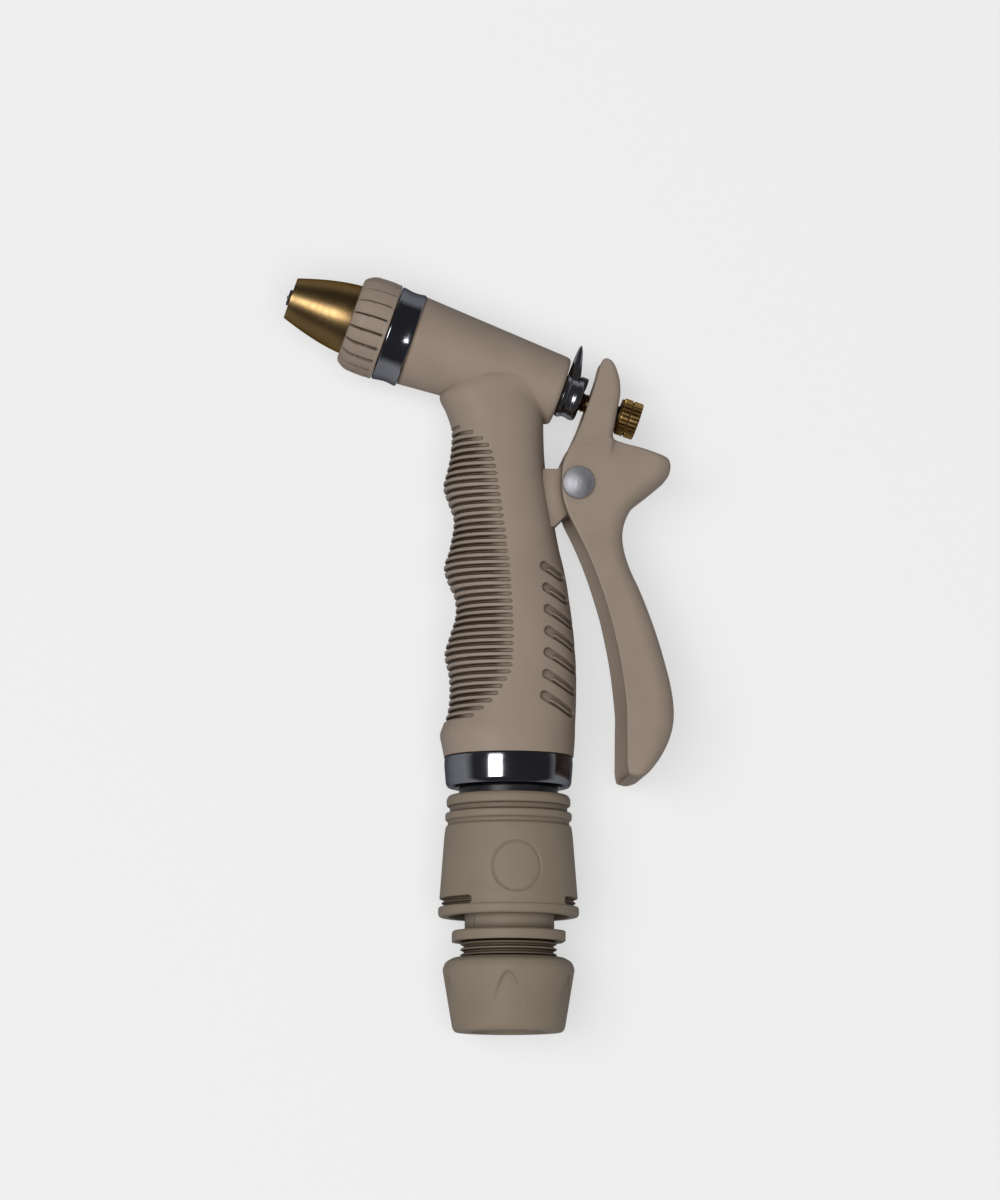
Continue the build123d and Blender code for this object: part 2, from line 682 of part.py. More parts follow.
save(body_casting.part, "body_casting")
save(front_trim_ring.part, "front_trim_ring")
save(nozzle_tube.part, "nozzle_tube")
save(cone_o_ring.part, "cone_o_ring")
save(grip_collar.part, "grip_collar")
save(spray_cone.part, "spray_cone")
save(orifice_insert.part, "orifice_insert")
save(valve_stem.part, "valve_stem")
save(valve_seal.part, "valve_seal")
save(valve_spring.part, "valve_spring")
save(stem_packing.part, "stem_packing")
save(packing_washer.part, "packing_washer")
save(gland_nut.part, "gland_nut")
save(lock_ring.part, "lock_ring")
save(nut_washer.part, "nut_washer")
save(flow_nut.part, "flow_nut")
save(trigger_lever.part, "trigger_lever")
save(pivot_rivet.part, "pivot_rivet")
save(lower_trim_ring.part, "lower_trim_ring")
save(inlet_adaptor.part, "inlet_adaptor")
save(inlet_washer.part, "inlet_washer")
save(adaptor_o_ring.part, "adaptor_o_ring")
save(connector_body.part, "connector_body")
save(claw_ring.part, "claw_ring")
save(connector_seal.part, "connector_seal")
save(spring_retainer.part, "spring_retainer")
save(sleeve_spring.part, "sleeve_spring")
save(connector_sleeve.part, "connector_sleeve")
save(hose_collet.part, "hose_collet")
save(clamp_nut.part, "clamp_nut")
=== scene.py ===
import math

import bmesh
import bpy
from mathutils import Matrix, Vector


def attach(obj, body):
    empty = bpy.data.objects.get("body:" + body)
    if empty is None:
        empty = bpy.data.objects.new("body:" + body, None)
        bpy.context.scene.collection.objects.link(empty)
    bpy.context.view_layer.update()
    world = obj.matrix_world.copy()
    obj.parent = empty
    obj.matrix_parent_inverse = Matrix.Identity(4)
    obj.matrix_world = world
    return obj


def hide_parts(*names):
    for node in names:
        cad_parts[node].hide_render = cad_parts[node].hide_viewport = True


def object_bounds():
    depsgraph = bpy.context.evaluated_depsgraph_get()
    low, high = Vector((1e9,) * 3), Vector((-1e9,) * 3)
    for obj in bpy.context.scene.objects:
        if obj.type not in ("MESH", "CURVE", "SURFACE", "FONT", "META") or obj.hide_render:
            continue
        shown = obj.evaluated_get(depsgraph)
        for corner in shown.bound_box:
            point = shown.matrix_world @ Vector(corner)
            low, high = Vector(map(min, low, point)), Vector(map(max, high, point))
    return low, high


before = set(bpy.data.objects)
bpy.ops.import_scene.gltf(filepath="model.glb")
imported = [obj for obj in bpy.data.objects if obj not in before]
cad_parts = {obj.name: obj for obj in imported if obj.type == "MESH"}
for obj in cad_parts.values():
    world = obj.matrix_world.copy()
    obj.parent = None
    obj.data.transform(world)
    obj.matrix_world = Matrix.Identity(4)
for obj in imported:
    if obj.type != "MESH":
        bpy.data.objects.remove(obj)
cad_low, cad_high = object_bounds()

# Everything below is measured in millimetres on the upright nozzle: Z runs up the hose axis,
# the barrel points towards -X and up, and -Y faces the camera. lay() turns that into the
# row frame, where the nozzle lies on its side.
MM = 0.001
TILT = math.radians(19.0)
BARREL_REAR = Vector((13.4, 0.0, 165.6))
FORWARD = Vector((-math.cos(TILT), 0.0, math.sin(TILT)))
ACROSS = Vector((math.sin(TILT), 0.0, math.cos(TILT)))
NEAR = Vector((0.0, -1.0, 0.0))
SHELL_TILT = math.radians(18.5)
SHELL = (BARREL_REAR + ACROSS * 0.6, Vector((-math.cos(SHELL_TILT), 0.0, math.sin(SHELL_TILT))),
         NEAR, Vector((math.sin(SHELL_TILT), 0.0, math.cos(SHELL_TILT))))
HOSE = (Vector((0.0, 0.0, 0.0)), Vector((0.0, 0.0, 1.0)), NEAR, Vector((1.0, 0.0, 0.0)))
BARREL = (BARREL_REAR, FORWARD, NEAR, ACROSS)
PIVOT = (17.4, 141.1)
RIVET = (Vector((PIVOT[0], 0.0, PIVOT[1])), NEAR, Vector((1.0, 0.0, 0.0)), Vector((0.0, 0.0, 1.0)))


def lay(p):
    """A point of the upright nozzle in the row frame, in metres."""
    return Vector((p[0], p[2], -p[1])) * MM


def clamp01(x):
    return max(0.0, min(1.0, x))


def smooth(x):
    x = clamp01(x)
    return x * x * (3.0 - 2.0 * x)


def along(stations, z, column):
    """Smooth value of one column of the stations, which are sorted by their first number."""
    count = len(stations)
    if z <= stations[0][0]:
        return stations[0][column]
    if z >= stations[-1][0]:
        return stations[-1][column]
    i = 0
    while stations[i + 1][0] < z:
        i += 1
    a, b = stations[i], stations[i + 1]
    before = stations[max(i - 1, 0)]
    after = stations[min(i + 2, count - 1)]
    span = b[0] - a[0]
    slope_a = (b[column] - before[column]) / max(b[0] - before[0], 1e-6)
    slope_b = (after[column] - a[column]) / max(after[0] - a[0], 1e-6)
    t = (z - a[0]) / span
    h = t * t * (3 - 2 * t)
    return (a[column] * (1 - h) + b[column] * h
            + span * (t * (1 - t) ** 2 * slope_a - t * t * (1 - t) * slope_b))


# ------------------------------------------------------------------ materials

def new_material(name):
    material = bpy.data.materials.new(name)
    material.use_nodes = True
    tree = material.node_tree
    shader = tree.nodes["Principled BSDF"]
    return material, tree, shader


def add_noise(tree, scale, detail=4.0):
    coords = tree.nodes.new("ShaderNodeTexCoord")
    mapping = tree.nodes.new("ShaderNodeMapping")
    noise = tree.nodes.new("ShaderNodeTexNoise")
    noise.inputs["Scale"].default_value = scale
    noise.inputs["Detail"].default_value = detail
    tree.links.new(coords.outputs["Object"], mapping.inputs["Vector"])
    tree.links.new(mapping.outputs["Vector"], noise.inputs["Vector"])
    return noise


def ramp(tree, source, low, high, dark, light):
    node = tree.nodes.new("ShaderNodeValToRGB")
    node.color_ramp.elements[0].position = low
    node.color_ramp.elements[0].color = (*dark, 1)
    node.color_ramp.elements[1].position = high
    node.color_ramp.elements[1].color = (*light, 1)
    tree.links.new(source, node.inputs["Fac"])
    return node


def add_bump(tree, shader, source, strength, distance):
    bump = tree.nodes.new("ShaderNodeBump")
    bump.inputs["Strength"].default_value = strength
    bump.inputs["Distance"].default_value = distance
    tree.links.new(source, bump.inputs["Height"])
    tree.links.new(bump.outputs["Normal"], shader.inputs["Normal"])
    return bump


def add_range(tree, source, shader, socket, low, high):
    node = tree.nodes.new("ShaderNodeMapRange")
    node.inputs["To Min"].default_value = low
    node.inputs["To Max"].default_value = high
    tree.links.new(source, node.inputs["Value"])
    tree.links.new(node.outputs["Result"], shader.inputs[socket])


def paint_hollow_shade(tree, tint, groove, distance):
    """Painted shade: multiplies a tint by the groove colour where ambient occlusion finds the
    surface shut in.
    """
    hollow = tree.nodes.new("ShaderNodeAmbientOcclusion")
    hollow.inputs["Distance"].default_value = distance
    hollow.samples = 8
    depth = ramp(tree, hollow.outputs["AO"], 0.30, 0.95, groove, (1, 1, 1))
    mix = tree.nodes.new("ShaderNodeMix")
    mix.data_type = "RGBA"
    mix.blend_type = "MULTIPLY"
    mix.inputs["Factor"].default_value = 1.0
    tree.links.new(tint.outputs["Color"], mix.inputs["A"])
    tree.links.new(depth.outputs["Color"], mix.inputs["B"])
    return mix


def coated(name, light, dark, groove, roughness, grain, crease=0.0):
    """Enamel or moulded plastic: faint mottling, fine grain, and painted shade darkening the
    hollows.
    """
    material, tree, shader = new_material(name)
    mottle = add_noise(tree, 90.0, 5.0)
    tint = ramp(tree, mottle.outputs["Fac"], 0.3, 0.7, dark, light)
    # Painted shade: the hollows are darkened with the groove colour.
    mix = paint_hollow_shade(tree, tint, groove, 0.0026)
    tree.links.new(mix.outputs["Result"], shader.inputs["Base Color"])
    fine = add_noise(tree, grain, 3.0)
    add_range(tree, mottle.outputs["Fac"], shader, "Roughness", roughness - 0.05, roughness + 0.08)
    bump = add_bump(tree, shader, fine.outputs["Fac"], 0.12, 0.0002)
    if crease > 0:
        bevel = tree.nodes.new("ShaderNodeBevel")
        bevel.samples = 8
        bevel.inputs["Radius"].default_value = crease
        tree.links.new(bevel.outputs["Normal"], bump.inputs["Normal"])
    shader.inputs["Specular IOR Level"].default_value = 0.22
    return material


def metal(name, colour, stain, roughness, edge, stretch, bump, groove=None):
    """Bright metal with turning marks along the barrel axis, slight staining and, when a groove
    colour is given, painted shade in the hollows.
    """
    material, tree, shader = new_material(name)
    shader.inputs["Metallic"].default_value = 1.0
    shader.inputs["Specular Tint"].default_value = (*edge, 1)
    marks = add_noise(tree, 1.0, 5.0)
    mapping = marks.inputs["Vector"].links[0].from_node
    mapping.vector_type = "TEXTURE"
    mapping.inputs["Rotation"].default_value = (0, 0, -TILT)
    mapping.inputs["Scale"].default_value = tuple(1.0 / c for c in stretch)
    patches = add_noise(tree, 60.0, 3.0)
    tint = ramp(tree, patches.outputs["Fac"], 0.35, 0.65, stain, colour)
    # Painted shade: a given groove colour darkens the hollows.
    if groove:
        mix = paint_hollow_shade(tree, tint, groove, 0.0010)
        tree.links.new(mix.outputs["Result"], shader.inputs["Base Color"])
    else:
        tree.links.new(tint.outputs["Color"], shader.inputs["Base Color"])
    add_range(tree, marks.outputs["Fac"], shader, "Roughness", roughness * 0.7, roughness * 1.4)
    add_bump(tree, shader, marks.outputs["Fac"], bump, 0.00006)
    return material


def dark_plain(name, colour, roughness):
    """Black moulding or rubber with a fine bloom."""
    material, tree, shader = new_material(name)
    bloom = add_noise(tree, 220.0, 4.0)
    lighter = tuple(c * 1.8 + 0.004 for c in colour)
    tint = ramp(tree, bloom.outputs["Fac"], 0.35, 0.7, colour, lighter)
    tree.links.new(tint.outputs["Color"], shader.inputs["Base Color"])
    add_range(tree, bloom.outputs["Fac"], shader, "Roughness", roughness - 0.06, roughness + 0.08)
    add_bump(tree, shader, bloom.outputs["Fac"], 0.08, 0.0001)
    return material


# Painted shade colours for the hollows: dark brown in the grooves, faint on the soft-creased enamel.
GROOVE_SHADE = (0.10, 0.055, 0.014)
FAINT_SHADE = (0.62, 0.54, 0.44)
PAINT = coated("beige_enamel", (0.240, 0.190, 0.152), (0.222, 0.175, 0.139), GROOVE_SHADE, 0.46, 2600.0)
CAST = coated("beige_enamel_cast", (0.240, 0.190, 0.152), (0.222, 0.175, 0.139), FAINT_SHADE, 0.46, 2600.0,
              crease=0.0017)
PLASTIC = coated("beige_plastic", (0.192, 0.154, 0.116), (0.176, 0.140, 0.104), GROOVE_SHADE, 0.50, 1800.0)
CHROME = metal("chrome_plate", (0.46, 0.47, 0.50), (0.36, 0.37, 0.40), 0.11, (0.3, 0.3, 0.34),
               (700, 700, 700), 0.05)
CAST_CHROME = metal("cast_chrome", (0.56, 0.57, 0.60), (0.42, 0.43, 0.46), 0.20, (0.4, 0.4, 0.45),
                    (420, 420, 420), 0.55)
# One brass in a darker and a brighter copy: the nut's brighter copy paints its gold highlights, and
# its groove colour paints shade between the knurl teeth.
BRASS = metal("turned_brass", (0.46, 0.310, 0.135), (0.29, 0.185, 0.080), 0.33, (0.35, 0.28, 0.2),
              (2600, 160, 160), 0.22)
NUT_BRASS_LIT = metal("knurled_brass", (1.0, 0.70, 0.28), (0.85, 0.54, 0.19), 0.36, (0.8, 0.6, 0.4),
                  (900, 900, 900), 0.08, groove=(0.05, 0.025, 0.008))
STEEL = metal("satin_steel", (0.90, 0.90, 0.94), (0.78, 0.78, 0.82), 0.60, (0.8, 0.8, 0.85),
              (900, 160, 160), 0.15)
BLACK = dark_plain("black_moulding", (0.010, 0.010, 0.012), 0.38)
RUBBER = dark_plain("black_rubber", (0.016, 0.016, 0.016), 0.65)
# Painted shade: the white acetal's hollows are darkened towards grey.
WHITE = coated("white_acetal", (0.80, 0.80, 0.77), (0.76, 0.76, 0.73), (0.6, 0.6, 0.58), 0.35, 900.0)


# ------------------------------------------------------------------ mesh tools

def make_piece(name, rings, material, body, nodes=(), closed=True, capped=True):
    """A skin over rings of points, all of the same length, optionally capped at both ends."""
    mesh = bpy.data.meshes.new(name)
    build = bmesh.new()
    rows = [[build.verts.new(lay(p)) for p in ring] for ring in rings]
    count = len(rings[0])
    last = count if closed else count - 1
    for low, high in zip(rows, rows[1:]):
        for i in range(last):
            j = (i + 1) % count
            build.faces.new((low[i], low[j], high[j], high[i]))
    if capped:
        build.faces.new(list(reversed(rows[0])))
        build.faces.new(rows[-1])
    bmesh.ops.recalc_face_normals(build, faces=build.faces)
    build.to_mesh(mesh)
    build.free()
    mesh.shade_smooth()
    piece = bpy.data.objects.new(name, mesh)
    bpy.context.scene.collection.objects.link(piece)
    piece.data.materials.append(material)
    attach(piece, body)
    if nodes:
        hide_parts(*nodes)
    return piece


def sharpen(piece, degrees=40.0):
    """Keeps edges crisp where faces meet at more than this angle."""
    piece.data.set_sharp_from_angle(angle=math.radians(degrees))


def rounded(corners, steps=5):
    """Points along an outline of (radius, station, rounding) corners."""
    points = []
    for i, (r, s, bend) in enumerate(corners):
        here = Vector((r, s))
        if bend <= 0 or i == 0 or i == len(corners) - 1:
            points.append((r, s))
            continue
        back = Vector(corners[i - 1][:2]) - here
        ahead = Vector(corners[i + 1][:2]) - here
        reach = min(bend, back.length * 0.48, ahead.length * 0.48)
        start = here + back.normalized() * reach
        end = here + ahead.normalized() * reach
        for k in range(steps + 1):
            t = k / steps
            q = start * (1 - t) ** 2 + here * 2 * t * (1 - t) + end * t * t
            points.append((q.x, q.y))
    return points


def refined(points, step):
    """The same outline with extra points so that none are further apart than step."""
    result = [points[0]]
    for a, b in zip(points, points[1:]):
        length = math.dist(a, b)
        parts = max(1, math.ceil(length / step))
        for k in range(1, parts + 1):
            t = k / parts
            result.append((a[0] + (b[0] - a[0]) * t, a[1] + (b[1] - a[1]) * t))
    return result


def lathe_rings(frame_axes, outline, segments, shape=None):
    """A closed outline of (radius, station) points turned about the frame's axis."""
    origin, axis, first, second = frame_axes
    rings = []
    for k in range(segments):
        angle = 2 * math.pi * k / segments
        out = first * math.cos(angle) + second * math.sin(angle)
        ring = []
        for radius, station in outline:
            if shape:
                radius = shape(radius, station, angle)
            ring.append(origin + axis * station + out * radius)
        rings.append(ring)
    rings.append(rings[0])
    return rings


def lathe(name, frame_axes, outline, material, body, nodes=(), segments=96, shape=None):
    """A turned piece; shape may change a point's radius."""
    rings = lathe_rings(frame_axes, outline, segments, shape)
    piece = make_piece(name, rings, material, body, nodes, closed=True, capped=False)
    weld(piece)
    return piece


def lathe_mesh(frame_axes, outline, segments):
    """A turned mesh that isn't a piece of its own yet."""
    rings = lathe_rings(frame_axes, outline, segments)
    mesh = bpy.data.meshes.new("turned")
    build = bmesh.new()
    rows = [[build.verts.new(lay(p)) for p in ring] for ring in rings]
    for low, high in zip(rows, rows[1:]):
        for i in range(len(low)):
            j = (i + 1) % len(low)
            build.faces.new((low[i], low[j], high[j], high[i]))
    bmesh.ops.remove_doubles(build, verts=build.verts, dist=2e-7)
    bmesh.ops.recalc_face_normals(build, faces=build.faces)
    build.to_mesh(mesh)
    build.free()
    return mesh


def weld(piece):
    build = bmesh.new()
    build.from_mesh(piece.data)
    bmesh.ops.remove_doubles(build, verts=build.verts, dist=2e-7)
    bmesh.ops.recalc_face_normals(build, faces=build.faces)
    build.to_mesh(piece.data)
    build.free()
    piece.data.shade_smooth()


# ------------------------------------------------------------------ handle and barrel

# Height, front edge X, back edge X, half width, from the bottom up.
HANDLE = [
    (70.55, -16.55, 16.65, 16.4),
    (73.5, -17.1, 16.9, 16.45),
    (76.3, -17.6, 17.05, 16.3),
    (78.6, -16.9, 17.1, 16.1),
    (82.0, -15.7, 17.25, 15.8),
    (87.0, -15.2, 17.4, 15.3),
    (92.0, -15.5, 17.4, 14.9),
    (97.0, -16.5, 17.2, 14.5),
    (102.0, -15.2, 16.8, 14.1),
    (107.2, -13.7, 16.2, 13.7),
    (112.0, -14.0, 15.5, 13.4),
    (115.5, -15.6, 15.0, 13.2),
    (119.6, -16.7, 14.2, 13.0),
    (124.5, -15.3, 13.0, 12.7),
    (132.0, -14.2, 11.6, 12.4),
    (136.5, -15.6, 10.8, 12.35),
    (140.7, -16.9, 10.2, 12.3),
    (144.6, -16.0, 9.6, 12.15),
    (149.0, -15.1, 9.2, 11.95),
    (156.0, -14.8, 9.0, 11.5),
    (160.5, -16.2, 9.1, 11.1),
    (164.5, -17.9, 8.9, 10.75),
    (167.4, -16.2, 8.2, 10.5),
    (168.9, -14.0, 6.8, 9.8),
    (169.6, -12.4, 5.0, 8.4),
]
RIB_TOP = 157.4
RIB_PITCH = 1.845
RIB_COUNT = 43
RIB_DEPTH = 1.2
# Back edge of the ribbed field: height, X.
RIB_EDGE = [
    (77.6, -14.5), (79.9, -10.3), (83.9, -5.4), (87.6, -2.8), (91.5, -0.8), (99.0, -0.1),
    (110.2, -0.4), (121.4, -1.2), (132.6, -2.7), (141.7, -4.0), (147.4, -5.1), (151.0, -6.9),
    (154.4, -11.0), (156.0, -14.0), (158.4, -17.0),
]
SLOT_COUNT = 7
SLOT_TILT = math.radians(-27.0)
SLOT_RADIUS = 1.22
SLOT_DEPTH = 1.0


def capsule(px, pz, ax, az, bx, bz):
    """Distance from a point to a segment."""
    dx, dz = bx - ax, bz - az
    t = clamp01(((px - ax) * dx + (pz - az) * dz) / (dx * dx + dz * dz))
    return math.hypot(px - ax - dx * t, pz - az - dz * t)


def slot_ends(i):
    """Front and back end of a flank slot."""
    share = i / (SLOT_COUNT - 1)
    x = 8.3 + 1.1 * math.sin(math.pi * share) - 0.3 * share
    z = 118.9 - 33.9 * share
    length = 5.2 + 2.8 * smooth(share * 1.8)
    return x, z, x + length * math.cos(SLOT_TILT), z + length * math.sin(SLOT_TILT)


SLOTS = [slot_ends(i) for i in range(SLOT_COUNT)]


def slot_hollow(x, z):
    """Depth of the flank slots at a point, with the low island inside each."""
    if x < 5.5 or z > 123 or z < 78:
        return 0.0
    depth = 0.0
    for ax, az, bx, bz in SLOTS:
        gap = capsule(x, z, ax, az, bx, bz) - SLOT_RADIUS
        if gap < 0.25:
            wall = smooth((0.12 - gap) / 0.34)
            ux, uz = (bx - ax) * 0.30, (bz - az) * 0.30
            island = capsule(x, z, ax + ux, az + uz - 0.1, bx, bz - 0.1) - 0.36
            raised = smooth((0.22 - island) / 0.34)
            depth = max(depth, SLOT_DEPTH * wall * (1 - 0.62 * raised))
    return depth


def rib_hollow(x, z):
    """Depth of the finger-side grooves at a point."""
    k = round((RIB_TOP - z) / RIB_PITCH)
    if k < 0 or k >= RIB_COUNT:
        return 0.0
    centre = RIB_TOP - k * RIB_PITCH
    reach = along(RIB_EDGE, centre, 1) - x
    if reach < 0:
        return 0.0
    half = 0.31 * RIB_PITCH
    end = min(1.0, reach / half)
    half *= math.sqrt(end * (2 - end))
    across = abs(z - centre)
    if across >= half:
        return 0.0
    depth = RIB_DEPTH * (0.40 + 0.60 * smooth((reach - 0.6) / 5.5))
    return depth * smooth((half - across) / (0.15 + 0.22 * depth))


def handle_ring(z, columns):
    front = along(HANDLE, z, 1)
    back = along(HANDLE, z, 2)
    half_width = along(HANDLE, z, 3)
    mid = (front + back) / 2
    reach = (back - front) / 2
    power = 2.0 / 2.25
    ring = []
    for i in range(columns):
        angle = 2 * math.pi * i / columns
        c, s = math.cos(angle), math.sin(angle)
        ux = math.copysign(abs(c) ** power, c)
        uy = math.copysign(abs(s) ** power, s)
        x = mid + reach * ux
        y = half_width * uy
        spine = smooth((abs(y) - 1.2) / 0.5)
        hollow = rib_hollow(x, z) + slot_hollow(x, z) * spine
        if hollow > 0:
            nx = ux / reach
            ny = uy / half_width
            size = math.hypot(nx, ny)
            x -= hollow * nx / size
            y -= hollow * ny / size
        ring.append((x, y, z))
    return ring


def handle_heights():
    z = HANDLE[0][0]
    top = HANDLE[-1][0]
    heights = []
    while z < top:
        heights.append(z)
        fine = 77.0 < z < 159.5
        z += 0.14 if fine else 0.5
    heights.append(top)
    return heights


CREASE_FROM = 158.6


def build_handle():
    rings = [handle_ring(z, 384) for z in handle_heights()]
    foot = [(x * 0.985, y * 0.985, 70.5) for x, y, z in rings[0]]
    handle = make_piece("body_shell", [foot] + rings, PAINT, "body", ["body_casting"])
    sharpen(handle, 60)
    outline = refined(rounded([
        (0.5, 0.0, 0), (9.15, 0.0, 1.5), (11.9, 41.0, 0), (8.3, 41.0, 0), (8.3, 37.0, 0),
        (0.5, 37.0, 0),
    ], 7), 1.2)
    barrel = lathe_mesh(SHELL, outline, 160)
    merge_casting(handle, barrel)
    build_lug()


def merge_casting(handle, barrel):
    """Adds the barrel to the handle; faces above the ribs get the soft-creased enamel."""
    build = bmesh.new()
    build.from_mesh(handle.data)
    for face in build.faces:
        face.material_index = 1 if face.calc_center_median().y > CREASE_FROM * MM else 0
    count = len(build.faces)
    build.from_mesh(barrel)
    build.faces.ensure_lookup_table()
    for face in build.faces[count:]:
        face.material_index = 1
        face.smooth = True
    build.to_mesh(handle.data)
    build.free()
    handle.data.materials.append(CAST)


def build_lug():
    """The ear between the handle and the lever that carries the rivet."""
    half = 6.85
    outline = [(8.0, 144.9), (12.0, 144.9), (14.5, 146.6)]
    for k in range(13):
        angle = math.radians(100 - 190 * k / 12)
        outline.append((PIVOT[0] + 6.1 * math.cos(angle), PIVOT[1] + 6.1 * math.sin(angle)))
    outline += [(14.6, 133.2), (11.4, 129.9), (8.0, 128.6)]
    rings = []
    for y, inset in ((-half, 0.35), (-half + 0.12, 0.1), (-half + 0.4, 0.0),
                     (half - 0.4, 0.0), (half - 0.12, 0.1), (half, 0.35)):
        ring = []
        for x, z in outline:
            away = Vector((x - PIVOT[0] + 2, z - PIVOT[1])).normalized() * inset
            ring.append((x - away.x, y, z - away.y))
        rings.append(ring)
    lug = make_piece("pivot_lug", rings, PAINT, "body")
    sharpen(lug, 50)


# ------------------------------------------------------------------ trigger lever

SHEET = 1.5
# Height, handle side X, outer X, half width, rounding of the outer edges.
LEVER = [
    (64.75, 31.2, 32.6, 13.2, 0.9),
    (65.3, 29.7, 34.2, 13.9, 2.2),
    (66.3, 29.35, 35.35, 14.1, 3.4),
    (68.0, 29.1, 36.8, 14.1, 4.2),
    (70.5, 29.1, 38.5, 14.0, 4.6),
    (74.0, 29.1, 40.3, 13.8, 5.0),
    (78.0, 29.1, 41.5, 13.4, 5.0),
    (82.5, 29.1, 41.8, 13.1, 5.0),
    (88.5, 28.5, 41.1, 12.5, 5.0),
    (95.0, 27.6, 39.6, 11.8, 5.0),
    (101.3, 26.35, 37.85, 11.2, 5.0),
    (107.5, 24.9, 35.75, 10.6, 4.8),
    (114.0, 22.9, 33.2, 10.0, 4.5),
    (118.6, 21.3, 31.1, 9.5, 4.2),
    (123.3, 19.4, 29.6, 9.0, 4.0),
    (127.8, 17.3, 29.1, 8.5, 4.0),
    (132.0, 15.2, 30.0, 8.4, 4.4),
    (135.8, 13.7, 32.2, 8.4, 5.2),
    (138.8, 13.15, 35.9, 8.4, 6.0),
    (141.3, 13.0, 38.9, 8.4, 6.0),
    (143.2, 13.05, 40.9, 8.4, 5.6),
    (145.0, 13.2, 41.7, 8.4, 5.0),
    (146.8, 13.6, 41.75, 8.4, 4.2),
    (148.3, 14.2, 41.0, 8.4, 3.4),
    (149.2, 14.6, 39.2, 8.3, 3.0),
    (150.8, 15.35, 34.6, 8.1, 2.6),
    (152.0, 16.1, 29.9, 7.8, 2.2),
    (153.0, 16.6, 27.3, 7.6, 2.0),
    (154.0, 17.05, 26.65, 7.4, 2.0),
    (156.6, 18.2, 27.1, 7.05, 2.0),
    (161.0, 19.8, 28.0, 6.3, 2.0),
    (165.4, 21.35, 28.85, 5.6, 2.0),
    (168.9, 22.55, 28.75, 5.2, 2.0),
    (170.6, 23.05, 28.35, 5.1, 1.8),
    (172.6, 23.55, 27.6, 5.0, 1.4),
    (174.0, 24.1, 26.6, 4.8, 0.8),
    (174.5, 24.7, 25.7, 4.6, 0.4),
]
CREASE_TOP = 153.4
CREASE_FOOT = 145.5


def lever_flank(left, right, half_width, bend):
    """Near half of the outer section, from the free edge to the middle of the back."""
    points = []
    lip = 0.35
    points.append((left, half_width - lip))
    points.append((left + lip * 0.35, half_width - lip * 0.35))
    start = left + lip
    stop = max(right - bend, start + 0.05)
    for k in range(29):
        points.append((start + (stop - start) * k / 28, half_width))
    for k in range(1, 11):
        angle = math.pi / 2 * k / 10
        points.append((stop + (right - stop) * math.sin(angle),
                       half_width - bend * (1 - math.cos(angle))))
    points.append((right, (half_width - bend) * 0.4))
    return points


def lever_hollow(left, right, half_width, bend, wall):
    """Near half of the inner section, from the middle of the back to the free edge."""
    inner_right = max(right - wall, left + 0.02)
    inner_half = half_width - SHEET
    inner_bend = min(max(bend - SHEET, 0.3), max(inner_right - left, 0.02), inner_half * 0.9)
    stop = inner_right - inner_bend
    points = [(inner_right, (inner_half - inner_bend) * 0.4)]
    for k in range(1, 7):
        angle = math.pi / 2 * (1 - k / 6)
        points.append((stop + inner_bend * math.sin(angle),
                       inner_half - inner_bend * (1 - math.cos(angle))))
    for k in range(1, 7):
        points.append((stop + (left - stop) * k / 6, inner_half))
    return points


def lever_ring(z):
    left, right, half_width, bend = (along(LEVER, z, c) for c in (1, 2, 3, 4))
    bend = min(bend, (right - left) * 0.7, half_width * 0.8)
    bottom, top = LEVER[0][0], LEVER[-1][0]
    depth = right - left
    close = min((z - bottom) / 2.2, (top - z) / 2.4)
    wall = SHEET + (depth - SHEET) * (1 - smooth(close))
    outer = lever_flank(left, right, half_width, bend)
    inner = lever_hollow(left, right, half_width, bend, wall)
    if CREASE_FOOT < z < CREASE_TOP + 0.6:
        edge = 26.4 - (CREASE_TOP - z) * 0.21
        fade = smooth((z - CREASE_FOOT) / (CREASE_TOP - CREASE_FOOT))
        outer = [(x, y - 1.1 * fade * smooth((x - edge) / 0.9)) for x, y in outer]
    near = [(x, -y, z) for x, y in outer]
    far = [(x, y, z) for x, y in reversed(outer)]
    far_in = [(x, y, z) for x, y in reversed(inner)]
    near_in = [(x, -y, z) for x, y in inner]
    return near + far + far_in + near_in


def build_lever():
    bottom, top = LEVER[0][0], LEVER[-1][0]
    rings = []
    z = bottom
    while z < top:
        rings.append(lever_ring(z))
        quick = 144.0 < z < 156.0 or z < 70 or z > 170
        z += 0.16 if quick else 0.5
    rings.append(lever_ring(top))
    lever = make_piece("trigger_lever_shell", rings, PAINT, "trigger",
                       ["trigger_lever"])
    sharpen(lever, 55)


def build_rivet():
    outline = [(2.0, 0.0), (2.0, 8.42), (4.05, 8.42), (4.3, 8.55)]
    for k in range(1, 13):
        angle = math.radians(38.0 * (1 - k / 12))
        outline.append((max(6.9 * math.sin(angle), 0.01), 8.6 + 6.9 * (math.cos(angle) - 0.788)))
    outline.append((0.01, 0.0))
    lathe("rivet_near", RIVET, outline, STEEL, "body", ["pivot_rivet"], 64)
    back = (RIVET[0], -RIVET[1], RIVET[2], RIVET[3])
    lathe("rivet_far", back, outline, STEEL, "body", (), 64)


# ------------------------------------------------------------------ spray head and valve

COLLAR_RIBS = 20


def collar_shape(radius, station, angle):
    """Ratchet-like panels: each rises gently and drops at a narrow groove."""
    if radius < 9.6:
        return radius
    turn = angle * COLLAR_RIBS / (2 * math.pi) + (station - 48.0) * 0.008
    phase = turn - math.floor(turn)
    groove = smooth((0.10 - abs(phase - 0.06)) / 0.10)
    rise = 0.40 * phase
    ends = smooth((station - 48.4) / 0.5) * smooth((radius - 9.8) / 1.2)
    return radius + ends * (rise - 0.40 - 0.46 * groove)


